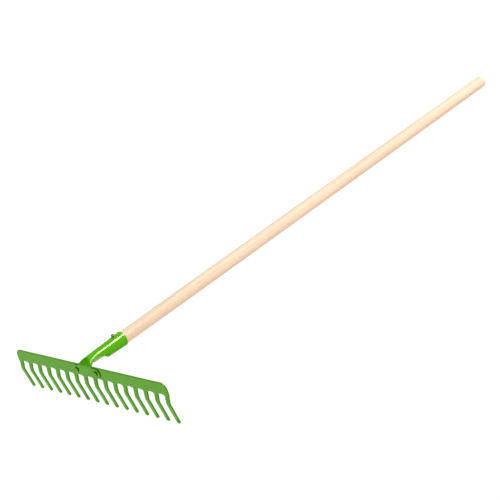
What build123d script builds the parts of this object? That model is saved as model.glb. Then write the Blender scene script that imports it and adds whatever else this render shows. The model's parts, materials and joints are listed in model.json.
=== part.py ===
"""Garden rake: a stamped steel head with sixteen tines, riveted to a pressed sheet socket that
holds a long turned wooden handle.

Working directions: "along" runs up the handle from the line where the tines leave the head
plate, "up" stands square to the handle on the side away from the tips, and X runs along the
head. Finished, the rake lies on the ground on its tine tips and on the free end of its handle.
"""
import math
import os

from build123d import *

# Head plate and tines (mm)
tine_count = 16
tine_pitch = 26.5
head_sheet = 3.0
plate_height = 24.2         # from the tine root line to the top edge
plate_corner = 12.5
plate_overhang = 1.3        # plate's ends, past the outer tines
overhang_round = 1.6
root_point = (-2.6, -25.9)  # along, up: front face at the tine root line
bend_point = (-5.1, -40.3)  # along, up: front face at the bend in the tines
tip_point = (3.1, -82.9)    # along, up: front face at the tips
root_bend_radius = 8.0
tine_bend_radius = 18.0
tine_root_width = 8.9
tine_tip_width = 7.1
tine_tip_round = 2.7
arch_rise = 2.3             # top of the flat arches between tines, above the root line
arch_drop = 2.4             # from the top of an arch down to its corners
arch_corner_round = 2.5

# Pressed sheet socket
socket_sheet = 1.5
mouth_along = 88.5
mouth_radius = 13.6
waist_along = 60.0
waist_radius = 12.5
neck_along = 24.0           # where the round tube starts to flatten into the neck
neck_radius = 11.8
seam_gap = 1.4
seam_end = 50.0
neck_front_along = -7.0
roof_half_width = 18.5      # pointed section that the neck runs out to at its front
roof_top_up = 9.6
roof_bulge = 2.2
facet_foot = (-3.0, 0.9)    # along, up
facet_apex = (6.0, 10.9)
flange_sheet = 2.0
ear_radius = 9.8
neck_half_width = 18.0
shelf_up = 0.8              # top of the fold over the plate's top edge
shelf_back = -0.8
fold_radius = 1.9
fold_foot_up = -4.0

# Rivets through the flange and the plate
rivet_spacing = 50.8
rivet_height = 14.0         # above the root line, measured up the plate
rivet_radius = 2.5
rivet_head_radius = 4.8
rivet_head_height = 2.2
rivet_tail_radius = 4.0
rivet_tail_height = 1.5
rivet_head_dome = 1.9       # edge radius of the head in front
rivet_tail_dome = 1.2

# Wooden handle
handle_inner_end = 12.0
handle_outer_end = 1207.0
grip_radius = 12.5
grip_start = 300.0
grip_end = 900.0
handle_end_radius = 12.05
handle_end_round = 8.0
handle_tip_radius = 8.6
tongue_up = -2.0            # flat underside of the inner end
tongue_end = 37.0
tongue_ramp_end = 49.0
wood_clearance = 0.1

# Screw that keeps the handle in the socket
screw_along = 71.0
screw_shank_radius = 1.75
screw_head_radius = 2.9
screw_head_height = 3.4
screw_length = 20.0
screw_head_dome = 1.4
screw_slot_width = 0.9
screw_slot_depth = 1.2
screw_slot_angle = 35.0
screw_point_length = 3.0
screw_stand = 1.5           # shank left showing between the tube and the head

# How the rake lies: tips and handle end on the ground, origin under the middle
handle_contact = handle_outer_end - handle_end_round
lie = math.atan2(-tip_point[1] - handle_end_radius, handle_contact - tip_point[0])
rest_angle = math.degrees(lie)
ground_drop = tip_point[0] * math.sin(lie) - tip_point[1] * math.cos(lie)
foremost = 7.5              # rivet heads, in front of the root line
centre_shift = (foremost - handle_outer_end * math.cos(lie)) / 2


def tool_plane(along, up, tilt=0.0):
    """Plane with X along the head; tilt 0 faces up, 90 faces forwards, -90 up the handle."""
    y = centre_shift + along * math.cos(lie) + up * math.sin(lie)
    z = ground_drop + up * math.cos(lie) - along * math.sin(lie)
    return Plane((0, y, z)).rotated((tilt - rest_angle, 0, 0))


axis_plane = tool_plane(0, 0)
side_plane = Plane(axis_plane.origin, x_dir=axis_plane.y_dir, z_dir=axis_plane.x_dir)
handle_axis = Axis(axis_plane.origin, axis_plane.y_dir)
front_plane = tool_plane(0, 0, 90)
plate_plane = tool_plane(*root_point, 90)
rivet_centres = [(-rivet_spacing / 2, rivet_height), (rivet_spacing / 2, rivet_height)]

plate_top = (root_point[0], root_point[1] + plate_height)
head_length = (tine_count - 1) * tine_pitch + tine_root_width + 2 * plate_overhang
slot_head = (tine_pitch - tine_root_width) / 2
slot_foot = (tine_pitch - tine_tip_width) / 2
arch_up = root_point[1] + arch_rise
arch_foot_up = arch_up - arch_drop

ear_top = rivet_height + ear_radius
flange_front = root_point[0] - flange_sheet

tube_flare = (mouth_radius - waist_radius) / (mouth_along - waist_along)
tube_radius_at_screw = waist_radius + (screw_along - waist_along) * tube_flare
screw_plane = tool_plane(screw_along, tube_radius_at_screw + screw_stand)
screw_axis = Axis(screw_plane.origin, screw_plane.z_dir)


# Slot punched between two tines, and beyond each outer tine, seen from the front
with BuildSketch() as tine_slot:
    with BuildLine():
        ThreePointArc((-slot_head, arch_foot_up), (0, arch_up), (slot_head, arch_foot_up))
        Polyline(
            (-slot_head, arch_foot_up),
            (-slot_foot, tip_point[1]),
            (slot_foot, tip_point[1]),
            (slot_head, arch_foot_up),
        )
    make_face()
    fillet(vertices().group_by(Axis.Y)[-1], radius=arch_corner_round)

# Head: one stamping, bent along its length and punched into a comb
with BuildPart() as rake_head:
    with BuildSketch(side_plane):
        with BuildLine():
            FilletPolyline(
                plate_top,
                root_point,
                bend_point,
                tip_point,
                radius=[root_bend_radius, tine_bend_radius],
            )
            offset(amount=head_sheet, side=Side.LEFT)
        make_face()
    extrude(amount=head_length / 2, both=True)
    with BuildSketch(front_plane):
        with Locations((0, (plate_top[1] + tip_point[1]) / 2)):
            Rectangle(head_length, plate_top[1] - tip_point[1])
        fillet(vertices().group_by(Axis.Y)[-1], radius=plate_corner)
        with GridLocations(tine_pitch, 0, tine_count + 1, 1):
            add(tine_slot.sketch, mode=Mode.SUBTRACT)
        fillet(vertices().group_by(Axis.Y)[2], radius=overhang_round)
        fillet(vertices().group_by(Axis.Y)[0], radius=tine_tip_round)
    extrude(amount=30, both=True, mode=Mode.INTERSECT)
    with BuildSketch(plate_plane):
        with Locations(*rivet_centres):
            Circle(rivet_radius)
    extrude(amount=-3 * head_sheet, both=True, mode=Mode.SUBTRACT)


# Sheet socket: split tube, open neck and riveted flange, pressed from one blank


def neck_body(inset):
    """Solid shape of the neck, with its flat front facet, drawn in by an inset."""
    half_width = roof_half_width - inset
    top_up = roof_top_up - inset
    shoulder = half_width / 2 + 0.5 * roof_bulge
    shoulder_up = top_up / 2 + 0.9 * roof_bulge
    facet_slope = math.atan2(facet_apex[1] - facet_foot[1], facet_apex[0] - facet_foot[0])
    facet_plane = tool_plane(*facet_foot, 180 + math.degrees(facet_slope)).offset(inset)
    with BuildPart() as body:
        with BuildSketch(tool_plane(neck_along, 0, 90)):
            with BuildLine():
                CenterArc((0, 0), neck_radius - inset, 0, 90)
                CenterArc((0, 0), neck_radius - inset, 90, 90)
                Line((inset - neck_radius, 0), (neck_radius - inset, 0))
            make_face()
        with BuildSketch(tool_plane(neck_front_along, 0, 90)):
            with BuildLine():
                ThreePointArc((half_width, 0), (shoulder, shoulder_up), (0, top_up))
                ThreePointArc((0, top_up), (-shoulder, shoulder_up), (-half_width, 0))
                Line((-half_width, 0), (half_width, 0))
            make_face()
        loft(ruled=True)
        split(bisect_by=facet_plane, keep=Keep.TOP)
    return body.part


neck_outside = neck_body(0)
neck_inside = neck_body(socket_sheet)

with BuildPart() as handle_socket:
    with BuildSketch(side_plane):
        with BuildLine():
            Polyline(
                (mouth_along, mouth_radius - socket_sheet),
                (waist_along, waist_radius - socket_sheet),
                (neck_along, neck_radius - socket_sheet),
                (neck_along, neck_radius),
                (waist_along, waist_radius),
                (mouth_along, mouth_radius),
                close=True,
            )
        make_face()
    revolve(axis=handle_axis)
    add(neck_outside)
    add(neck_inside, mode=Mode.SUBTRACT)
    # Underside: the tube's edges part and climb to the neck, leaving it open below
    with BuildSketch(side_plane):
        with BuildLine():
            Spline(
                (shelf_back, 0),
                (3.0, 1.4),
                (9.0, 4.2),
                (18.0, 3.2),
                (30.0, 0.2),
                (41.0, -6.8),
                (seam_end - 3, -neck_radius - 3),
            )
            Polyline(
                (seam_end - 3, -neck_radius - 3),
                (neck_front_along - 1, -neck_radius - 3),
                (neck_front_along - 1, 0),
                (shelf_back, 0),
            )
        make_face()
    extrude(amount=2 * roof_half_width, both=True, mode=Mode.SUBTRACT)
    # Seam where the two edges of the tube meet
    with BuildSketch(tool_plane((mouth_along + seam_end) / 2, 0, 0)):
        Rectangle(seam_gap, mouth_along - seam_end + 20)
    extrude(amount=-2 * mouth_radius, mode=Mode.SUBTRACT)
    # Screw hole
    with BuildSketch(screw_plane):
        Circle(screw_shank_radius)
    extrude(amount=-screw_length / 2, mode=Mode.SUBTRACT)
    # Fold that carries the neck over the plate's top edge and down into the flange
    with BuildSketch(side_plane):
        with BuildLine():
            Polyline(
                (shelf_back, shelf_up),
                (flange_front, shelf_up),
                (flange_front, fold_foot_up),
                (root_point[0], fold_foot_up),
                (root_point[0], shelf_up - flange_sheet),
                (shelf_back, shelf_up - flange_sheet),
                close=True,
            )
        make_face()
        fillet(vertices().group_by(Axis.Y)[-1].sort_by(Axis.X)[0], radius=fold_radius)
    extrude(amount=neck_half_width, both=True)
    # Flange lying on the front of the head plate
    with BuildSketch(plate_plane):
        with BuildLine():
            Line((0, ear_top), (rivet_spacing / 2, ear_top))
            CenterArc((rivet_spacing / 2, rivet_height), ear_radius, 90, -180)
            Line((rivet_spacing / 2, ear_top - 2 * ear_radius), (0, ear_top - 2 * ear_radius))
            mirror(about=Plane.YZ)
        make_face()
        with Locations(*rivet_centres):
            Circle(rivet_radius, mode=Mode.SUBTRACT)
    extrude(amount=flange_sheet)

# Rivets: domed head in front, flatter formed head behind


def rivet(centre):
    """One rivet through the flange and the plate."""
    with BuildPart() as body:
        with BuildSketch(plate_plane.offset(-head_sheet)):
            with Locations(centre):
                Circle(rivet_radius)
        extrude(amount=head_sheet + flange_sheet)
        with BuildSketch(plate_plane.offset(flange_sheet)):
            with Locations(centre):
                Circle(rivet_head_radius)
        extrude(amount=rivet_head_height)
        fillet(body.edges().sort_by(rivet_axis)[-1], radius=rivet_head_dome)
        with BuildSketch(plate_plane.offset(-head_sheet)):
            with Locations(centre):
                Circle(rivet_tail_radius)
        extrude(amount=-rivet_tail_height)
        fillet(body.edges().sort_by(rivet_axis)[0], radius=rivet_tail_dome)
    return body


rivet_axis = Axis(plate_plane.origin, plate_plane.z_dir)
rivet_left, rivet_right = [rivet(centre) for centre in rivet_centres]

# Screw: slotted head with a domed top, shank driven through the tube into the wood
with BuildPart() as socket_screw:
    with BuildSketch(screw_plane):
        Circle(screw_head_radius)
    extrude(amount=screw_head_height)
    fillet(edges().sort_by(screw_axis)[-1], radius=screw_head_dome)
    with BuildSketch(screw_plane.offset(screw_head_height)):
        Rectangle(3 * screw_head_radius, screw_slot_width, rotation=screw_slot_angle)
    extrude(amount=-screw_slot_depth, mode=Mode.SUBTRACT)
    with BuildSketch(screw_plane):
        Circle(screw_shank_radius)
    extrude(amount=-screw_length)
    chamfer(edges().sort_by(screw_axis)[0], length=screw_point_length, length2=screw_shank_radius / 2)

# Handle: turned, with its inner end wedged in the socket and planed flat underneath
with BuildPart() as handle:
    with BuildSketch(side_plane):
        with BuildLine():
            Polyline(
                (handle_inner_end, 0),
                (handle_inner_end, handle_tip_radius),
                (neck_along, neck_radius - socket_sheet - wood_clearance),
                (waist_along, waist_radius - socket_sheet - wood_clearance),
                (mouth_along, mouth_radius - socket_sheet - wood_clearance),
                (grip_start, grip_radius),
                (grip_end, grip_radius),
                (handle_outer_end, handle_end_radius),
                (handle_outer_end, 0),
                close=True,
            )
        make_face()
        fillet(vertices().group_by(Axis.X)[-1].sort_by(Axis.Y)[-1], radius=handle_end_round)
    revolve(axis=handle_axis)
    with BuildSketch(side_plane):
        with BuildLine():
            Polyline(
                (handle_inner_end - 1, tongue_up),
                (tongue_end, tongue_up),
                (tongue_ramp_end, -neck_radius - 1),
                (handle_inner_end - 1, -neck_radius - 1),
                close=True,
            )
        make_face()
    extrude(amount=2 * grip_radius, both=True, mode=Mode.SUBTRACT)
    with BuildSketch(screw_plane.offset(-screw_length)):
        Circle(screw_shank_radius)
    extrude(amount=2 * screw_length, mode=Mode.SUBTRACT)

os.makedirs("parts", exist_ok=True)
pieces = {
    "rake_head": rake_head,
    "handle_socket": handle_socket,
    "rivet_left": rivet_left,
    "rivet_right": rivet_right,
    "handle": handle,
    "socket_screw": socket_screw,
}
for name, piece in pieces.items():
    piece.part.label = name
    export_step(piece.part, f"parts/{name}.step")
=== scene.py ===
import json
import math

import bmesh
import bpy
from mathutils import Matrix, Quaternion, Vector


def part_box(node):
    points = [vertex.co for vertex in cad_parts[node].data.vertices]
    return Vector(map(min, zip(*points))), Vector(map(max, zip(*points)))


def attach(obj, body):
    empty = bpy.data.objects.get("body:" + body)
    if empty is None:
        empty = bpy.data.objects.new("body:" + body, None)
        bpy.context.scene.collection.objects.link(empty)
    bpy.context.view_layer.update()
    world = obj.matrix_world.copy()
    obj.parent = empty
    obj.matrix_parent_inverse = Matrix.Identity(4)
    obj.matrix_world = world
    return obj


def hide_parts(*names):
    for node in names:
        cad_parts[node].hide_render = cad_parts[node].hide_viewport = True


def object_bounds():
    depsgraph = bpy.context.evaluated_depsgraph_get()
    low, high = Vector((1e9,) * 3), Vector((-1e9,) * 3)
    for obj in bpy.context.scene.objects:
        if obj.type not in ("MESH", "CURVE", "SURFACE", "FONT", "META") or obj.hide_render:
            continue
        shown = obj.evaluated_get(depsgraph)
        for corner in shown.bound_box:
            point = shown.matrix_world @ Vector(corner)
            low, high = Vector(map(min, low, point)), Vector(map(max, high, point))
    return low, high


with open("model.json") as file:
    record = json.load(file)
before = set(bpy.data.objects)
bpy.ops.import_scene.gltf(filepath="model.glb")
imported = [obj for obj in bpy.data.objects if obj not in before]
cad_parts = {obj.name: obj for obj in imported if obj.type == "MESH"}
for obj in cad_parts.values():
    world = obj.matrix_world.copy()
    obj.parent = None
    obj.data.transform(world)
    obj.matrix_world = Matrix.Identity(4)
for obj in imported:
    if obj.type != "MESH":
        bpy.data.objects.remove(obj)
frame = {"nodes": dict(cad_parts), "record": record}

cad_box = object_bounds()
MM = 0.001

# ---------------------------------------------------------------- tool axes, from the frame

record = frame["record"]
grip = next(mount for mount in record["mounts"] if mount["name"] == "handle_grip")
grip_along = 600 * MM

x_axis = Vector((1, 0, 0))
along_axis = Vector(grip["axis"]).normalized()
up_axis = x_axis.cross(along_axis)
root_line = Vector(grip["pos_m"]) - grip_along * along_axis
handle_tilt = math.atan2(-along_axis.z, along_axis.y)


def tool_point(x, along, up):
    """Point of the row frame from the tool's own three measures."""
    return root_line + x * x_axis + along * along_axis + up * up_axis


# ---------------------------------------------------------------- mesh helpers


def new_object(name, mesh, material, node):
    """Object for a finished mesh, riding on the root body in place of a CAD node."""
    obj = bpy.data.objects.new(name, mesh)
    bpy.context.scene.collection.objects.link(obj)
    obj.data.materials.append(material)
    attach(obj, "root")
    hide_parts(node)


def mesh_from_bmesh(name, bm, sharp_degrees):
    """Mesh with smooth faces, and sharp edges only where faces turn by more than an angle."""
    bm.normal_update()
    limit = math.radians(sharp_degrees)
    for face in bm.faces:
        face.smooth = True
    for edge in bm.edges:
        if len(edge.link_faces) == 2:
            edge.smooth = edge.calc_face_angle() < limit
    mesh = bpy.data.meshes.new(name)
    bm.to_mesh(mesh)
    bm.free()
    return mesh


def bridge(bm, ring, following):
    """Closed band of faces between two rings of the same count."""
    for i in range(len(ring)):
        j = (i + 1) % len(ring)
        bm.faces.new((ring[i], following[i], following[j], ring[j]))


# ---------------------------------------------------------------- rake head

gaps = record["physics"]["openings"]
tine_count = len(gaps) + 1
tine_pitch = gaps[1]["box_m"][0][0] - gaps[0]["box_m"][0][0]
head_low, head_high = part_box("rake_head")

# Same values as the CAD; heights and along-measures are those of the front face.
head_half = (head_high.x - head_low.x) / 2
plate_overhang = 1.3 * MM
overhang_round = 1.6 * MM
end_half = head_half - (tine_count - 1) * tine_pitch / 2
tine_root_half = end_half - plate_overhang
tine_tip_half = 3.55 * MM
tine_tip_round = 2.7 * MM
head_sheet = 3.0 * MM
plate_corner = 12.5 * MM
plate_height = 24.2 * MM
root_point = (-2.6 * MM, -25.9 * MM)
bend_point = (-5.1 * MM, -40.3 * MM)
tip_point = (3.1 * MM, -82.9 * MM)
bend_radii = (8.0 * MM, 18.0 * MM)
arch_rise = 2.3 * MM
arch_drop = 2.4 * MM
arch_corner_round = 2.5 * MM
plate_top = (root_point[0], root_point[1] + plate_height)
slot_head = tine_pitch / 2 - tine_root_half
arch_up = root_point[1] + arch_rise
arch_radius = (slot_head**2 + arch_drop**2) / (2 * arch_drop)
arch_centre_up = arch_up - arch_radius

# Fineness of the mesh, and the small roll on its cut edges.
edge_round = 0.55 * MM
arch_steps = 12
arch_margin = 3.5 * MM
plate_columns = 7
end_columns = 8
tip_steps = 5
bend_rows_start = 11.1 * MM
bend_row_step = 1.1 * MM
path_arc_step = 0.02


def rounded_path(corners, radii, arc_step):
    """Points of a polyline with its inner corners rounded, as Vectors of two measures."""
    corners = [Vector(corner) for corner in corners]
    path = [corners[0]]
    for before, corner, after, radius in zip(corners, corners[1:], corners[2:], radii):
        inward = (before - corner).normalized()
        outward = (after - corner).normalized()
        half_turn = (math.pi - inward.angle(outward)) / 2
        centre = corner + (inward + outward).normalized() * radius / math.cos(half_turn)
        start = corner + inward * radius * math.tan(half_turn) - centre
        end = corner + outward * radius * math.tan(half_turn) - centre
        count = max(2, math.ceil(2 * half_turn / arc_step))
        for i in range(count + 1):
            path.append(centre + start.slerp(end, i / count, start).normalized() * radius)
    path.append(corners[-1])
    return path


class FrontFace:
    """Front of the bent head, seen from the side: where it is and where it faces at a height."""

    def __init__(self):
        corners = [plate_top, root_point, bend_point, tip_point]
        path = rounded_path(corners, bend_radii, path_arc_step)
        self.points = path
        directions = [(b - a).normalized() for a, b in zip(path, path[1:])]
        self.normals = []
        for i in range(len(path)):
            direction = directions[max(i - 1, 0)] + directions[min(i, len(directions) - 1)]
            direction.normalize()
            self.normals.append(Vector((direction.y, -direction.x)))

    def at(self, up):
        """Along-measure of the front face, and its outward normal, at a height."""
        points = self.points
        i = 0
        while i < len(points) - 2 and points[i + 1].y > up:
            i += 1
        share = (points[i].y - up) / (points[i].y - points[i + 1].y)
        point = points[i].lerp(points[i + 1], share)
        normal = self.normals[i].lerp(self.normals[i + 1], min(max(share, 0), 1)).normalized()
        return point, normal

    def place(self, x, up, depth):
        """Point of the sheet at a depth below the front face."""
        point, normal = self.at(up)
        return tool_point(x, point.x - normal.x * depth, point.y - normal.y * depth)


def slot_width_at(up):
    """Half-width of the slot between two tines, below its arch."""
    foot = tine_pitch / 2 - tine_tip_half
    share = (arch_up - arch_drop - up) / (arch_up - arch_drop - tip_point[1])
    return slot_head + (foot - slot_head) * share


corner_x = slot_width_at(arch_up - arch_drop - arch_corner_round) - arch_corner_round
corner_up = arch_centre_up + math.sqrt((arch_radius - arch_corner_round) ** 2 - corner_x**2)
corner_turn = math.atan2(corner_up - arch_centre_up, corner_x)


def tine_rows():
    """Heights down one tine, from the corners of its arches to where the round tip begins."""
    last = tip_point[1] + tine_tip_round
    bend_rows = [root_point[1] - bend_rows_start - i * bend_row_step for i in range(8)]
    rows = [bend_rows[-1] - (bend_rows[-1] - last) * i / 12 for i in range(1, 13)]
    first_rows = [corner_up + (bend_rows[0] - corner_up) * i / 4 for i in range(1, 4)]
    return first_rows + bend_rows + rows


def cell_band(inset):
    """Half of the band round one slot: (slot edge point, partner on the cell's border)."""
    band_top = arch_up + arch_margin
    wall = tine_pitch / 2
    band = []
    for i in range(arch_steps):
        angle = math.pi / 2 + (corner_turn - math.pi / 2) * i / arch_steps
        radius = arch_radius + inset
        edge = (radius * math.cos(angle), arch_centre_up + radius * math.sin(angle))
        band.append((edge, (wall * i / arch_steps, band_top)))
    for i in range(arch_steps + 1):
        angle = corner_turn * (1 - i / arch_steps)
        radius = arch_corner_round + inset
        edge = (corner_x + radius * math.cos(angle), corner_up + radius * math.sin(angle))
        band.append((edge, (wall, band_top + (corner_up - band_top) * i / arch_steps)))
    for up in tine_rows():
        band.append(((slot_width_at(up) + inset, up), (wall, up)))
    foot_x = slot_width_at(tip_point[1]) + tine_tip_round
    foot_up = tip_point[1] + tine_tip_round
    radius = tine_tip_round - inset
    for i in range(1, tip_steps + 1):
        angle = math.pi / 2 * i / tip_steps
        up = foot_up - radius * math.sin(angle)
        band.append(((foot_x - radius * math.cos(angle), up), (wall, up)))
    return band


def end_reach(up, inset):
    """Outer edge of the plate's end above the end tine, measured from that tine's middle."""
    height = up - corner_up
    corner_from_tine = tine_pitch / 2 - corner_x
    round_x = end_half - overhang_round
    corner_to_round = arch_corner_round + overhang_round
    round_height = math.sqrt(corner_to_round**2 - (corner_from_tine - round_x) ** 2)
    radius = overhang_round - inset
    if height >= round_height:
        return end_half - inset
    if height >= round_height * (1 - radius / corner_to_round):
        return round_x + math.sqrt(radius**2 - (height - round_height) ** 2)
    return corner_from_tine - math.sqrt((arch_corner_round + inset) ** 2 - height**2)


def end_band(inset):
    """Outer half of an end tine: (distance of its edge from the tine's middle, height)."""
    band = []
    for edge, (wall, up) in cell_band(inset)[arch_steps:]:
        outer = end_reach(up, inset) if up >= corner_up else wall - edge[0]
        band.append((outer, up))
    return band


def corner_drop(from_end, inset):
    """How far the plate's top edge has dropped at a distance from the plate's end."""
    radius = plate_corner - inset
    reach = radius - (from_end - inset)
    return 0.0 if reach <= 0 else radius - math.sqrt(max(radius**2 - reach**2, 0))


def flat_head(inset):
    """The head's outline as a flat net of faces, drawn in by an inset, as a bmesh."""
    bm = bmesh.new()
    # Layer for the painted shade on the sheet's side faces.
    bm.verts.layers.float.new("painted_edge_shade")
    made = {}

    def vertex(x, up):
        key = (round(x * 1e7), round(up * 1e7))
        if key not in made:
            made[key] = bm.verts.new((x, up, 0))
        return made[key]

    def strip(rows):
        for row, following in zip(rows, rows[1:]):
            for a, b, c, d in zip(row, row[1:], following[1:], following):
                corners = []
                for x, up in (a, b, c, d):
                    corner = vertex(x, up)
                    if corner not in corners:
                        corners.append(corner)
                if len(corners) > 2 and not bm.faces.get(corners):
                    bm.faces.new(corners)

    def across(start, end, columns):
        run, rise = end[0] - start[0], end[1] - start[1]
        shares = [k / columns for k in range(columns + 1)]
        return [(start[0] + run * share, start[1] + rise * share) for share in shares]

    def plate_above(positions):
        rows = []
        for x in positions:
            top = plate_top[1] - inset - corner_drop(head_half - abs(x), inset)
            rows.append(across((x, band_top), (x, top), plate_columns))
        strip(rows)

    half_band = cell_band(inset)
    top_columns = [partner[0] for _, partner in half_band[:arch_steps + 1]]
    band_top = half_band[0][1][1]
    for cell in range(tine_count - 1):
        middle = (cell - (tine_count - 2) / 2) * tine_pitch
        for side in (-1, 1):
            strip([
                across((middle + side * e[0], e[1]), (middle + side * p[0], p[1]), 2)
                for e, p in half_band
            ])
            plate_above(middle + side * x for x in top_columns)
    reach = plate_corner - inset
    end_turn = math.acos(1 - (end_half - inset) / reach)
    turns = [end_turn * k / end_columns for k in range(end_columns, -1, -1)]
    shares = [1 - reach * (1 - math.cos(turn)) / (end_half - inset) for turn in turns]
    for side in (-1, 1):
        middle = side * (head_half - end_half)
        strip([
            [(middle + side * outer * share, up) for share in shares]
            for outer, up in end_band(inset)
        ])
        plate_above(middle + side * share * (end_half - inset) for share in shares)
    return bm


def outward_normals(loop):
    """Outward direction at each corner of a closed loop that runs anticlockwise."""
    normals = []
    for i, point in enumerate(loop):
        before = point - loop[i - 1]
        after = loop[(i + 1) % len(loop)] - point
        normal = before.normalized() + after.normalized()
        normal = Vector((normal.y, -normal.x)).normalized()
        normals.append(normal)
    return normals


def border_loop(bm):
    """The vertices round a flat net of faces, in order, anticlockwise."""
    follow = {}
    for face in bm.faces:
        if face.normal.z < 0:
            face.normal_flip()
    for edge in bm.edges:
        if len(edge.link_faces) == 1:
            loop = edge.link_loops[0]
            follow[loop.vert] = loop.link_loop_next.vert
    start = next(iter(follow))
    order = [start]
    while follow[order[-1]] is not start:
        order.append(follow[order[-1]])
    return order


def build_head(material):
    """The whole stamped head, with rolled edges, wrapped round its bent side profile."""
    front_face = FrontFace()
    bm = flat_head(edge_round)
    bm.normal_update()
    border = border_loop(bm)
    flat_points = {v: Vector((v.co.x, v.co.y)) for v in bm.verts}
    faces = [list(face.verts) for face in bm.faces]
    loop = [flat_points[v] for v in border]
    normals = outward_normals(loop)

    painted_edge_shade = bm.verts.layers.float["painted_edge_shade"]
    back = {v: bm.verts.new((0, 0, 0)) for v in flat_points}
    for corners in faces:
        bm.faces.new([back[v] for v in reversed(corners)])

    turns = [math.radians(angle) for angle in (22.5, 45, 67.5, 90)]
    rings = [(edge_round * math.sin(t), edge_round * (1 - math.cos(t))) for t in turns]
    rings += [(reach, head_sheet - depth) for reach, depth in reversed(rings)]
    previous = border
    for reach, depth in rings:
        ring = []
        for point, normal in zip(loop, normals):
            moved = point + normal * reach
            ring.append(bm.verts.new(front_face.place(moved.x, moved.y, depth)))
            # Painted shade: the rolled edges and side faces darken towards the middle of the
            # sheet's thickness.
            ring[-1][painted_edge_shade] = 0.5 * reach / edge_round
        bridge(bm, previous, ring)
        previous = ring
    bridge(bm, previous, [back[v] for v in border])

    for v, point in flat_points.items():
        v.co = front_face.place(point.x, point.y, 0)
        back[v].co = front_face.place(point.x, point.y, head_sheet)
    bmesh.ops.recalc_face_normals(bm, faces=bm.faces)
    mesh = mesh_from_bmesh("rake_head_mesh", bm, 50)
    new_object("rake_head_sheet", mesh, material, "rake_head")


# ---------------------------------------------------------------- sheet socket

# Stations of the tube are pairs (along, outside radius); profile points are pairs (along, up).
socket_sheet = 1.5 * MM
mouth = (88.5 * MM, 13.6 * MM)
waist = (60.0 * MM, 12.5 * MM)
neck = (24.0 * MM, 11.8 * MM)
neck_front = -7.0 * MM
roof_half_width = 18.5 * MM
roof_top_up = 9.6 * MM
roof_bulge = 2.2 * MM
facet_foot = (-3.0 * MM, 0.9 * MM)
facet_apex = (6.0 * MM, 10.9 * MM)
facet_crease = 1.1 * MM
seam_gap = 1.4 * MM

# Lower edge of the neck and of the open front of the tube, as pairs (along, up) in mm.
underside = [(-0.8, 0), (3, 1.4), (9, 4.2), (18, 3.2), (30, 0.2), (41, -6.8), (47, -14.8)]
fold_reach = 4.0 * MM

flange_sheet = 2.0 * MM
flange_front = root_point[0] - flange_sheet
fold_top = 0.8 * MM
fold_radius = 1.9 * MM
fold_half = 18.0 * MM
ear_radius = 9.8 * MM
ear_x = 25.4 * MM
ear_up = root_point[1] + 14.0 * MM
foot_along = facet_foot[0] + (fold_top - facet_foot[1]) * 0.9

# Fineness of the sheet's grid: columns from each edge to the middle, rows along each part.
socket_columns = 28
tube_rows = 44
neck_rows = 21
crease_rows = 4
facet_rows = 8
fold_rows = 6
flange_steps = 20
ear_columns = 8

# Joining of the grid's parts, and finish of the sheet's rim.
weld = 0.02 * MM
corner_weld = 0.1 * MM
corner_weld_reach = 1.5 * MM
corner_blend_reach = 2.0 * MM
corner_plain_reach = 3.0 * MM
shell_limit = 1.2
rim_round = 0.3 * MM


def arc_point(start, middle, end, share):
    """Point at a share of the way along the arc through three points."""
    a, b, c = Vector(start), Vector(middle), Vector(end)
    span = 2 * (a.x * (b.y - c.y) + b.x * (c.y - a.y) + c.x * (a.y - b.y))
    aa, bb, cc = a.length_squared, b.length_squared, c.length_squared
    centre = Vector((
        (aa * (b.y - c.y) + bb * (c.y - a.y) + cc * (a.y - b.y)) / span,
        (aa * (c.x - b.x) + bb * (a.x - c.x) + cc * (b.x - a.x)) / span,
    ))
    turn = (a - centre).angle_signed(c - centre)
    radius = a - centre
    angle = -turn * share
    return centre + Vector((
        radius.x * math.cos(angle) - radius.y * math.sin(angle),
        radius.x * math.sin(angle) + radius.y * math.cos(angle),
    ))


def underside_up(along):
    """Height of the tube's and the neck's lower edge, from a smooth curve through its points."""
    points = [Vector(point) * MM for point in underside]
    if along >= points[-1].x:
        return -math.inf
    if along <= points[0].x:
        return fold_top
    i = max(k for k in range(len(points) - 1) if points[k].x <= along)
    before, after = points[max(i - 1, 0)], points[min(i + 2, len(points) - 1)]
    a, b = points[i], points[i + 1]
    share = (along - a.x) / (b.x - a.x)
    slope_a = (b.y - before.y) / (b.x - before.x) * (b.x - a.x)
    slope_b = (after.y - a.y) / (after.x - a.x) * (b.x - a.x)
    up = (
        (2 * share**3 - 3 * share**2 + 1) * a.y
        + (share**3 - 2 * share**2 + share) * slope_a
        + (3 * share**2 - 2 * share**3) * b.y
        + (share**3 - share**2) * slope_b
    )
    return max(up, fold_top) if along < fold_reach else up


def tube_radius(along):
    """Outside radius of the tapered tube."""
    (start, start_radius), (end, end_radius) = (neck, waist) if along < waist[0] else (waist, mouth)
    return start_radius + (end_radius - start_radius) * (along - start) / (end - start)


def tube_point(along, share):
    """Point of the tube's outside: share 0 at its lower edge or seam, 1 at the top."""
    radius = tube_radius(along)
    lowest = min(max(underside_up(along) / radius, -1), 1)
    reach = min(math.acos(lowest), math.pi - seam_gap / 2 / radius)
    angle = reach * (1 - share)
    return Vector((radius * math.sin(angle), along, radius * math.cos(angle)))


def roof_point(along, side_share):
    """Point of the neck's outside, ruled from the tube's upper half to the pointed front."""
    run = (neck[0] - along) / (neck[0] - neck_front)
    angle = math.pi / 2 * side_share
    shoulder = (roof_half_width / 2 + roof_bulge / 2, roof_top_up / 2 + 0.9 * roof_bulge)
    front = arc_point((roof_half_width, 0), shoulder, (0, roof_top_up), side_share)
    circle = Vector((math.cos(angle), math.sin(angle))) * neck[1]
    section = circle.lerp(front, run)
    return Vector((section.x, along, section.y))


def halve(low, high, is_low):
    """Where a condition that holds at the low end stops holding."""
    for _ in range(30):
        middle = (low + high) / 2
        low, high = (middle, high) if is_low(middle) else (low, middle)
    return low


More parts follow.
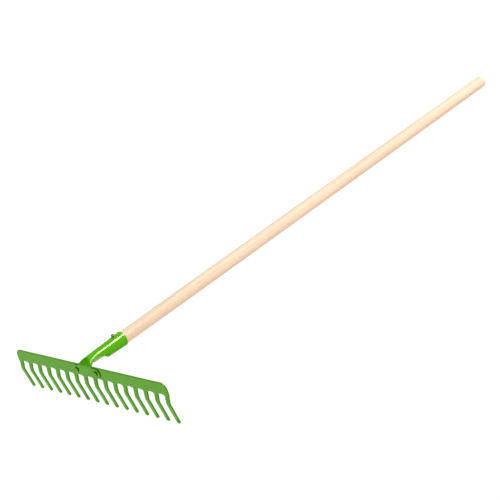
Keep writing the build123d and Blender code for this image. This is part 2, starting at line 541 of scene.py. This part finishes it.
def neck_point(along, share):
    """Point of the neck's outside: share 0 at its lower edge, 1 at the top."""
    edge_up = underside_up(along)
    lowest = halve(0, 1, lambda s: roof_point(along, s).z < edge_up)
    return roof_point(along, lowest + (1 - lowest) * share)


def facet_up(along):
    """Height of the flat front facet's plane."""
    slope = (facet_apex[1] - facet_foot[1]) / (facet_apex[0] - facet_foot[0])
    return facet_foot[1] + (along - facet_foot[0]) * slope


def rounded_corner(before, corner, after, size, count):
    """Points that round a corner off, from its one side to its other."""
    inward, outward = before - corner, after - corner
    start = corner + inward * min(0.45, size / max(inward.length, 1e-6))
    end = corner + outward * min(0.45, size / max(outward.length, 1e-6))
    curve = []
    for i in range(count + 1):
        t = i / count
        curve.append(start * (1 - t) ** 2 + corner * 2 * t * (1 - t) + end * t**2)
    return curve


def socket_column(share):
    """One line along the pressed blank, from the tube's mouth to the flange's lower edge."""
    tube_run = neck[0] - mouth[0]
    line = [tube_point(mouth[0] + tube_run * i / tube_rows, share) for i in range(tube_rows)]
    crease = halve(foot_along, neck[0], lambda along: neck_point(along, share).z > facet_up(along))
    for i in range(neck_rows):
        line.append(neck_point(neck[0] + (crease - neck[0]) * i / neck_rows, share))
    corner = neck_point(crease, share)
    foot = Vector((fold_half * (1 - share), foot_along, fold_top))
    rounded = rounded_corner(line[-1], corner, foot, facet_crease, crease_rows)
    line += rounded
    line += [rounded[-1].lerp(foot, i / facet_rows) for i in range(1, facet_rows)]
    for i in range(fold_rows + 1):
        turn = math.radians(100 + 80 * i / fold_rows)
        arc = (math.cos(turn) * fold_radius, (math.sin(turn) - 1) * fold_radius)
        line.append(Vector((foot.x, flange_front + fold_radius + arc[0], fold_top + arc[1])))
    line += [Vector((foot.x, flange_front, up)) for up in flange_rows()]
    return line


def flange_rows():
    """Heights across the flange, closer together at the ends of its round ears."""
    turns = [math.pi * i / flange_steps for i in range(flange_steps + 1)]
    return [ear_up + ear_radius * math.cos(turn) for turn in turns]


def ear_row(up):
    """Points of one ear at a height, from the fold's side to the ear's round end."""
    reach = ear_x + math.sqrt(max(ear_radius**2 - (up - ear_up) ** 2, 0))
    across = [fold_half + (reach - fold_half) * i / ear_columns for i in range(ear_columns + 1)]
    return [Vector((x, flange_front, up)) for x in across]


def grid_faces(bm, rows, side):
    """Faces between neighbouring rows of points, mirrored to one side."""
    verts = [[bm.verts.new((side * p.x, p.y, p.z)) for p in row] for row in rows]
    for row, following in zip(verts, verts[1:]):
        for a, b, c, d in zip(row, row[1:], following[1:], following):
            bm.faces.new((a, b, c, d) if side > 0 else (d, c, b, a))


def from_fold_corner(v):
    """Distance of a vertex from the nearer corner between the neck's foot and the fold."""
    corner = Vector((fold_half, foot_along, fold_top))
    return (Vector((abs(v.co.x), v.co.y, v.co.z)) - corner).length


def inward_step(v, others):
    """Step from the sheet's outside at a vertex to its inside."""
    on_flange = v.co.y < facet_foot[0] - 0.5 * MM and v.co.z < -1 * MM
    depth = flange_sheet if on_flange else socket_sheet
    if from_fold_corner(v) < corner_blend_reach:
        close = [w for w in others if (w.co - v.co).length < corner_blend_reach]
        return -sum((w.normal for w in close), Vector()).normalized() * depth
    return -v.normal * min(v.calc_shell_factor(), shell_limit) * depth


def build_socket(material):
    """The pressed socket as one sheet: tube, neck, facet, fold and flange, with rolled edges."""
    bm = bmesh.new()
    painted_edge_shade = bm.verts.layers.float.new("painted_edge_shade")
    in_rim = bm.faces.layers.int.new("in_rim")
    columns = [socket_column(i / socket_columns) for i in range(socket_columns + 1)]
    ears = [ear_row(up) for up in flange_rows()]
    for side in (-1, 1):
        grid_faces(bm, columns, side)
        grid_faces(bm, ears, -side)
    bmesh.ops.remove_doubles(bm, verts=bm.verts, dist=weld)
    near = [v for v in bm.verts if from_fold_corner(v) < corner_weld_reach]
    bmesh.ops.remove_doubles(bm, verts=near, dist=corner_weld)
    bmesh.ops.dissolve_degenerate(bm, edges=bm.edges, dist=weld / 2)
    bmesh.ops.recalc_face_normals(bm, faces=bm.faces)
    bm.normal_update()
    top = max(bm.verts, key=lambda v: v.co.z)
    if top.normal.z < 0:
        bmesh.ops.reverse_faces(bm, faces=bm.faces)
        bm.normal_update()

    outer = list(bm.verts)
    faces = [list(face.verts) for face in bm.faces]
    rim_loops = [edge.link_loops[0] for edge in bm.edges if edge.is_boundary]
    rim = [(loop.vert, loop.link_loop_next.vert) for loop in rim_loops]
    inner = {v: bm.verts.new(v.co + inward_step(v, outer)) for v in outer}
    for corners in faces:
        bm.faces.new([inner[v] for v in reversed(corners)])
    for a, b in rim:
        bm.faces.new((b, a, inner[a], inner[b]))[in_rim] = 1
    bm.normal_update()
    sharp = math.radians(60)
    edges = [
        e for e in bm.edges
        if e.calc_face_angle() > sharp and min(map(from_fold_corner, e.verts)) > corner_plain_reach
    ]
    bmesh.ops.bevel(
        bm,
        geom=edges,
        offset=rim_round,
        segments=3,
        profile=0.5,
        affect="EDGES",
        clamp_overlap=False,
    )
    bmesh.ops.triangulate(bm, faces=[face for face in bm.faces if len(face.verts) > 4])
    bmesh.ops.dissolve_degenerate(bm, edges=bm.edges, dist=0.3 * weld)
    # Painted shade on the rim faces: deep at the flange's rim, for the shadow beside it, light at
    # the tube's rims.
    for v in {v for face in bm.faces if face[in_rim] for v in face.verts}:
        v[painted_edge_shade] = 1.0 if v.co.y < flange_front + flange_sheet else 0.4
    bm.faces.layers.int.remove(in_rim)
    for v in bm.verts:
        v.co = tool_point(*v.co)
    bmesh.ops.recalc_face_normals(bm, faces=bm.faces)
    mesh = mesh_from_bmesh("handle_socket_mesh", bm, 40)
    new_object("socket_sheet", mesh, material, "handle_socket")


# ---------------------------------------------------------------- turned pieces


def lathe(bm, profile, columns, place):
    """Closed surface from a profile of (distance along the axis, radius), ends at radius 0."""
    rings = []
    for distance, radius in profile[1:-1]:
        turns = [2 * math.pi * k / columns for k in range(columns)]
        rings.append([bm.verts.new(place(distance, radius, turn)) for turn in turns])
    for ring, following in zip(rings, rings[1:]):
        bridge(bm, ring, following)
    for ring, end in ((rings[0], profile[0]), (rings[-1], profile[-1])):
        pole = bm.verts.new(place(end[0], 0, 0))
        for i in range(columns):
            bm.faces.new((ring[i], ring[(i + 1) % columns], pole))
    bmesh.ops.recalc_face_normals(bm, faces=bm.faces)


def dome(distance, radius, height, edge, side):
    """Profile of a head with a rounded edge, from its rim to its middle."""
    points = [(distance, radius)]
    for i in range(9):
        turn = math.pi / 2 * i / 8
        rise = height - edge + edge * math.sin(turn)
        points.append((distance + side * rise, radius - edge + edge * math.cos(turn)))
    points.append((distance + side * height, (radius - edge) / 2))
    points.append((distance + side * height, 0))
    return points


# Rivet heads as (radius, height, radius of the rounded edge).
rivet_front = (4.8 * MM, 2.19 * MM, 1.9 * MM)
rivet_behind = (4.0 * MM, 1.5 * MM, 1.2 * MM)
rivet_shank = 2.5 * MM
rivet_columns = 48
# Painted shade on the sides of the rivet heads: it begins at this radius and is full after this
# width.
shaded_side_start = 3.2 * MM
shaded_side_width = 1.2 * MM


def build_rivet(name, x, material):
    """One rivet: domed head in front of the flange, flatter one behind the plate."""
    front = dome(flange_sheet, *rivet_front, 1)
    behind = dome(-head_sheet, *rivet_behind, -1)
    profile = front[::-1] + [(flange_sheet, rivet_shank), (-head_sheet, rivet_shank)] + behind
    bm = bmesh.new()
    painted_edge_shade = bm.verts.layers.float.new("painted_edge_shade")

    def place(distance, radius, turn):
        return tool_point(
            x + radius * math.sin(turn), root_point[0] - distance, ear_up + radius * math.cos(turn)
        )

    lathe(bm, profile, rivet_columns, place)
    # Painted shade, growing outwards over the sides of both heads.
    middle = tool_point(x, root_point[0], ear_up)
    for v in bm.verts:
        past = (v.co - middle).cross(along_axis).length - shaded_side_start
        v[painted_edge_shade] = min(max(past / shaded_side_width, 0), 1)
    mesh = mesh_from_bmesh(name + "_mesh", bm, 50)
    new_object(name + "_turned", mesh, material, name)


handle_start = 12.0 * MM
handle_end = 1207.0 * MM
handle_end_round = 8.0 * MM
handle_columns = 72
fine_step = 2.0 * MM        # between rings at the inner end, under the socket
fine_rows = 20
coarse_step = 6.0 * MM      # between rings on the rest of the handle
coarse_rows = 191
end_rows = 10
flat_depth = 0.05 * MM      # how deep sanding cuts the faint flats

# Shape of the turned handle, as pairs (along, radius) in mm.
handle_profile = [
    (12, 8.6), (24, 10.2), (60, 10.9), (88.5, 12), (300, 12.5), (900, 12.5), (1207, 12.05)
]

# Tongue at the inner end, planed flat underneath, and the ramp back to the full section.
tongue_up = -2.0 * MM
tongue_end = 37.0 * MM
tongue_ramp_end = 49.0 * MM
tongue_ramp_up = -12.8 * MM


def handle_radius(along):
    """Radius of the turned handle, with its free end rounded off."""
    points = [Vector(point) * MM for point in handle_profile]
    i = max((k for k in range(len(points) - 1) if points[k].x <= along), default=0)
    share = (along - points[i].x) / (points[i + 1].x - points[i].x)
    radius = points[i].lerp(points[i + 1], share).y
    past = along - (handle_end - handle_end_round)
    if past > 0:
        radius -= handle_end_round - math.sqrt(max(handle_end_round**2 - past**2, 0))
    return radius


def build_handle(material):
    """Turned handle, with faint flats left by sanding and its inner end planed underneath."""
    coarse_start = handle_start + fine_rows * fine_step
    round_start = handle_end - handle_end_round
    stations = [handle_start + fine_step * i for i in range(fine_rows)]
    stations += [coarse_start + coarse_step * i for i in range(coarse_rows)]
    turns = [math.pi / 2 * i / end_rows for i in range(1, end_rows + 1)]
    stations += [round_start + handle_end_round * math.sin(turn) for turn in turns]
    profile = [(handle_start, 0)] + [(along, handle_radius(along)) for along in stations]
    profile += [(handle_end, handle_radius(handle_end) / 2), (handle_end, 0)]

    def place(along, radius, turn):
        wave = math.sin(2 * turn + along * 21) + math.sin(3 * turn - along * 34)
        if along > mouth[0]:
            radius -= min(flat_depth * (1 + wave / 2), radius)
        up = radius * math.cos(turn)
        if along < tongue_ramp_end:
            share = max(along - tongue_end, 0) / (tongue_ramp_end - tongue_end)
            up = max(up, tongue_up + (tongue_ramp_up - tongue_up) * share)
        return tool_point(radius * math.sin(turn), along, up)

    bm = bmesh.new()
    lathe(bm, profile, handle_columns, place)
    mesh = mesh_from_bmesh("handle_mesh", bm, 35)
    new_object("handle_turned", mesh, material, "handle")


# ---------------------------------------------------------------- materials


def node_material(name):
    """Empty node material: (material, nodes, links, principled shader)."""
    material = bpy.data.materials.new(name)
    material.use_nodes = True
    nodes = material.node_tree.nodes
    return material, nodes, material.node_tree.links, nodes["Principled BSDF"]


def colour_ramp(nodes, stops):
    """Colour ramp from a list of (place, colour)."""
    ramp = nodes.new("ShaderNodeValToRGB")
    elements = ramp.color_ramp.elements
    while len(elements) < len(stops):
        elements.new(0.5)
    for element, (place, colour) in zip(elements, stops):
        element.position = place
        element.color = (*colour, 1)
    return ramp


def noise(nodes, links, coordinates, scale, detail, distortion=0.0):
    """Noise texture reading the given coordinates."""
    texture = nodes.new("ShaderNodeTexNoise")
    texture.inputs["Scale"].default_value = scale
    texture.inputs["Detail"].default_value = detail
    texture.inputs["Distortion"].default_value = distortion
    links.new(coordinates, texture.inputs["Vector"])
    return texture


def bump(nodes, links, height, strength, distance, below=None):
    """Bump node from a height value, on top of another one if given."""
    node = nodes.new("ShaderNodeBump")
    node.inputs["Strength"].default_value = strength
    node.inputs["Distance"].default_value = distance
    links.new(height, node.inputs["Height"])
    if below:
        links.new(below, node.inputs["Normal"])
    return node.outputs["Normal"]


def feed(links, value, socket):
    """Give a socket a value that is another socket or a number."""
    if isinstance(value, bpy.types.NodeSocket):
        links.new(value, socket)
    else:
        socket.default_value = value


def math_node(nodes, links, operation, *values):
    """Math node from sockets or numbers."""
    node = nodes.new("ShaderNodeMath")
    node.operation = operation
    for value, socket in zip(values, node.inputs):
        feed(links, value, socket)
    return node.outputs[0]


def mix(nodes, links, blend, factor, first, second):
    """Colour mix of two colours, by a factor that is a socket or a number."""
    node = nodes.new("ShaderNodeMix")
    node.data_type = "RGBA"
    node.blend_type = blend
    for value, socket in zip((factor, first, second), [i for i in node.inputs if i.enabled]):
        feed(links, value, socket)
    return next(o for o in node.outputs if o.enabled)


def paint_material():
    """Glossy green baked enamel: orange peel, uneven colour, and painted shade on the sheet's side
    faces and rims, deepest at the flange's rim and the rivets' sides.
    """
    material, nodes, links, shader = node_material("green_enamel")
    place = nodes.new("ShaderNodeTexCoord").outputs["Object"]
    cloud = noise(nodes, links, place, 35, 3)
    ramp = colour_ramp(nodes, [
        (0.30, (0.094, 0.436, 0.001)),
        (0.70, (0.103, 0.470, 0.002)),
    ])
    links.new(cloud.outputs["Fac"], ramp.inputs["Fac"])
    # Painted shade: the painted_edge_shade attribute darkens the colour, to 0.62 at the head's side
    # faces and to deep green at the flange's rim and the rivets' sides.
    edge_shade_input = nodes.new("ShaderNodeAttribute")
    edge_shade_input.attribute_name = "painted_edge_shade"
    # Random scuff mottling, laid only where the painted shade lies.
    scuffs = noise(nodes, links, place, 260, 3)
    scuff_ramp = colour_ramp(nodes, [(0.35, (0.82, 0.86, 0.82)), (0.65, (1.0, 1.0, 1.0))])
    links.new(scuffs.outputs["Fac"], scuff_ramp.inputs["Fac"])
    base, scuff = ramp.outputs["Color"], scuff_ramp.outputs["Color"]
    colour = mix(nodes, links, "MULTIPLY", edge_shade_input.outputs["Fac"], base, scuff)
    edge_shade_ramp = colour_ramp(nodes, [
        (0.0, (1.0, 1.0, 1.0)),
        (0.5, (0.62, 0.66, 0.62)),
        (1.0, (0.16, 0.24, 0.16)),
    ])
    links.new(edge_shade_input.outputs["Fac"], edge_shade_ramp.inputs["Fac"])
    colour = mix(nodes, links, "MULTIPLY", 1.0, colour, edge_shade_ramp.outputs["Color"])
    links.new(colour, shader.inputs["Base Color"])
    peel = noise(nodes, links, place, 700, 2)
    links.new(bump(nodes, links, peel.outputs["Fac"], 0.015, 0.0002), shader.inputs["Normal"])
    sheen = colour_ramp(nodes, [(0.3, (0.14, 0.14, 0.14)), (0.7, (0.17, 0.17, 0.17))])
    links.new(noise(nodes, links, place, 60, 4).outputs["Fac"], sheen.inputs["Fac"])
    links.new(sheen.outputs["Color"], shader.inputs["Roughness"])
    shader.inputs["IOR"].default_value = 1.45
    return material


def mapped(nodes, links, coordinates, scale, place=(0, 0, 0), turn=(0, 0, 0)):
    """Coordinates moved, turned and scaled."""
    mapping = nodes.new("ShaderNodeMapping")
    mapping.inputs["Location"].default_value = place
    mapping.inputs["Rotation"].default_value = turn
    mapping.inputs["Scale"].default_value = scale
    links.new(coordinates, mapping.inputs["Vector"])
    return mapping.outputs["Vector"]


def wood_material():
    """Pale turned ash: growth rings cut lengthwise, streaks, fine fibres and dark pores."""
    material, nodes, links, shader = node_material("pale_ash")
    place = nodes.new("ShaderNodeTexCoord").outputs["Object"]
    turned = mapped(nodes, links, place, (1, 1, 1), turn=(handle_tilt, 0, 0))

    streak = noise(nodes, links, mapped(nodes, links, turned, (1, 0.025, 1)), 120, 3)
    streak_ramp = colour_ramp(nodes, [
        (0.25, (0.780, 0.592, 0.425)),
        (0.50, (0.835, 0.655, 0.490)),
        (0.75, (0.860, 0.695, 0.535)),
    ])
    links.new(streak.outputs["Fac"], streak_ramp.inputs["Fac"])

    rings = nodes.new("ShaderNodeTexWave")
    rings.wave_type = "RINGS"
    rings.rings_direction = "Y"
    rings.inputs["Scale"].default_value = 120
    rings.inputs["Distortion"].default_value = 1.5
    rings.inputs["Detail"].default_value = 3
    pith = mapped(nodes, links, turned, (1, 0.06, 1), place=(0.031, 0, 0.012), turn=(0.11, 0, 0.07))
    links.new(pith, rings.inputs["Vector"])
    ring_ramp = colour_ramp(nodes, [(0.0, (1, 1, 1)), (0.7, (1, 1, 1)), (1.0, (0.90, 0.84, 0.78))])
    links.new(rings.outputs["Fac"], ring_ramp.inputs["Fac"])
    streaks, ring_tint = streak_ramp.outputs["Color"], ring_ramp.outputs["Color"]
    colour = mix(nodes, links, "MULTIPLY", 0.7, streaks, ring_tint)

    pores = noise(nodes, links, mapped(nodes, links, turned, (1, 0.03, 1)), 1600, 2)
    pore_ramp = colour_ramp(nodes, [(0.62, (1, 1, 1)), (0.72, (0.74, 0.64, 0.55))])
    links.new(pores.outputs["Fac"], pore_ramp.inputs["Fac"])
    colour = mix(nodes, links, "MULTIPLY", rings.outputs["Fac"], colour, pore_ramp.outputs["Color"])
    links.new(colour, shader.inputs["Base Color"])

    fibre = noise(nodes, links, mapped(nodes, links, turned, (1, 0.02, 1)), 900, 4)
    grain = bump(nodes, links, fibre.outputs["Fac"], 0.12, 0.0002)
    relief = bump(nodes, links, pore_ramp.outputs["Color"], 0.1, 0.0001, grain)
    links.new(relief, shader.inputs["Normal"])
    shader.inputs["Roughness"].default_value = 0.5
    return material


def screw_material():
    """Zinc-plated steel, slightly dulled."""
    material, nodes, links, shader = node_material("zinc_steel")
    place = nodes.new("ShaderNodeTexCoord").outputs["Object"]
    cloud = noise(nodes, links, place, 600, 2)
    ramp = colour_ramp(nodes, [(0.3, (0.42, 0.44, 0.46)), (0.7, (0.60, 0.61, 0.63))])
    links.new(cloud.outputs["Fac"], ramp.inputs["Fac"])
    links.new(ramp.outputs["Color"], shader.inputs["Base Color"])
    shader.inputs["Metallic"].default_value = 1.0
    shader.inputs["Roughness"].default_value = 0.35
    return material


# ---------------------------------------------------------------- floor, light and camera

ground = cad_box[0].z
front_of_head = cad_box[0].y
socket_middle = tool_point(0, waist[0], 0)
floor_reach = 30.0
floor_glow = 0.97
dimming_in_front = 0.33     # of the floor's glow in reflections
dimming_behind = 0.95


def add_floor():
    """Plain white floor, far larger than the view; a dimmer, warmer light on what stands on it.

    In reflections it is pale in front of the head and dark behind it, like a studio table
    with its white card at the front.
    """
    mesh = bpy.data.meshes.new("floor_mesh")
    signs = ((-1, -1), (1, -1), (1, 1), (-1, 1))
    corners = [(x * floor_reach, y * floor_reach, ground) for x, y in signs]
    mesh.from_pydata(corners, [], [(0, 1, 2, 3)])
    floor = bpy.data.objects.new("floor", mesh)
    bpy.context.scene.collection.objects.link(floor)
    material, nodes, links, shader = node_material("white_floor")
    shader.inputs["Base Color"].default_value = (0.06, 0.06, 0.06, 1)
    shader.inputs["Roughness"].default_value = 1.0
    shader.inputs["Specular IOR Level"].default_value = 0.0
    ray = nodes.new("ShaderNodeLightPath")
    seen = ray.outputs["Is Camera Ray"]
    tint = mix(nodes, links, "MIX", seen, (1.16, 0.99, 0.90, 1), (1, 1, 1, 1))
    links.new(tint, shader.inputs["Emission Color"])
    across = nodes.new("ShaderNodeSeparateXYZ")
    links.new(nodes.new("ShaderNodeTexCoord").outputs["Object"], across.inputs["Vector"])
    behind = math_node(nodes, links, "GREATER_THAN", across.outputs["Y"], front_of_head)
    extra = dimming_behind - dimming_in_front
    dimming = math_node(nodes, links, "MULTIPLY_ADD", behind, extra, dimming_in_front)
    dimming = math_node(nodes, links, "MULTIPLY", dimming, ray.outputs["Is Glossy Ray"])
    strength = math_node(nodes, links, "MULTIPLY_ADD", dimming, -floor_glow, floor_glow)
    links.new(strength, shader.inputs["Emission Strength"])
    floor.data.materials.append(material)


def add_softbox(name, direction, distance, width, height, power):
    """Area light facing the middle of the socket, its height running along the handle."""
    light = bpy.data.lights.new(name, "AREA")
    light.shape = "RECTANGLE"
    light.size = width
    light.size_y = height
    light.energy = power
    softbox = bpy.data.objects.new(name, light)
    bpy.context.scene.collection.objects.link(softbox)
    direction = direction.normalized()
    side = along_axis.cross(direction).normalized()
    softbox.location = socket_middle + direction * distance
    softbox.rotation_mode = "QUATERNION"
    axes = Matrix((side, direction.cross(side), direction)).transposed()
    softbox.rotation_quaternion = axes.to_quaternion()
    return softbox


def add_lights():
    """A key for form, a small strip for the gloss on the tube, and a card for its far edge."""
    key_direction = 0.34 * x_axis + 0.55 * along_axis + 0.76 * up_axis
    key = add_softbox("key", key_direction, 3.0, 0.9, 0.9, 65)
    key.visible_glossy = False
    strip_direction = 0.36 * x_axis + 0.41 * along_axis + 0.83 * up_axis
    strip = add_softbox("gloss_strip", strip_direction, 3.0, 1.1, 0.36, 55)
    strip.data.color = (1.0, 0.98, 0.74)
    strip.visible_diffuse = False
    card_direction = -0.76 * x_axis + 0.47 * along_axis + 0.46 * up_axis
    card = add_softbox("far_card", card_direction, 2.5, 1.8, 1.8, 5)
    card.data.color = (1.0, 0.97, 0.42)
    card.visible_diffuse = False


def add_world():
    """Grey surroundings for fill, dark in reflections, pale where the camera sees them."""
    world = bpy.data.worlds.new("studio")
    bpy.context.scene.world = world
    world.use_nodes = True
    nodes, links = world.node_tree.nodes, world.node_tree.links
    background = nodes["Background"]
    background.inputs["Color"].default_value = (1, 1, 1, 1)
    ray = nodes.new("ShaderNodeLightPath")
    strength = math_node(nodes, links, "MULTIPLY", ray.outputs["Is Diffuse Ray"], 0.54)
    strength = math_node(nodes, links, "MULTIPLY_ADD", ray.outputs["Is Glossy Ray"], 0.03, strength)
    strength = math_node(nodes, links, "MULTIPLY_ADD", ray.outputs["Is Camera Ray"], 1.0, strength)
    links.new(strength, background.inputs["Strength"])


def add_camera():
    """Camera at the height, side and tilt from which the rake is seen."""
    azimuth = math.radians(51.23)
    elevation = math.radians(25.13)
    roll = math.radians(-20.45)
    distance = 2.8191
    aim = tool_point(0, 0.4272, -0.0053)
    back = Vector((
        math.sin(azimuth) * math.cos(elevation),
        -math.cos(azimuth) * math.cos(elevation),
        math.sin(elevation),
    ))
    data = bpy.data.cameras.new("camera")
    data.sensor_width = 36
    data.lens = 107.55
    data.clip_end = 100
    camera = bpy.data.objects.new("camera", data)
    bpy.context.scene.collection.objects.link(camera)
    camera.location = aim + back * distance
    camera.rotation_mode = "QUATERNION"
    level = (-back).to_track_quat("-Z", "Y")
    level.rotate(Quaternion(back, roll))
    camera.rotation_quaternion = level
    bpy.context.scene.camera = camera


paint = paint_material()
wood = wood_material()
steel = screw_material()

build_head(paint)
build_socket(paint)
build_rivet("rivet_left", -ear_x, paint)
build_rivet("rivet_right", ear_x, paint)
build_handle(wood)
screw_mesh = frame["nodes"]["socket_screw"].data
screw_mesh.materials.clear()
screw_mesh.materials.append(steel)

add_floor()
add_world()
add_lights()
add_camera()
bpy.context.scene.view_settings.view_transform = "Standard"
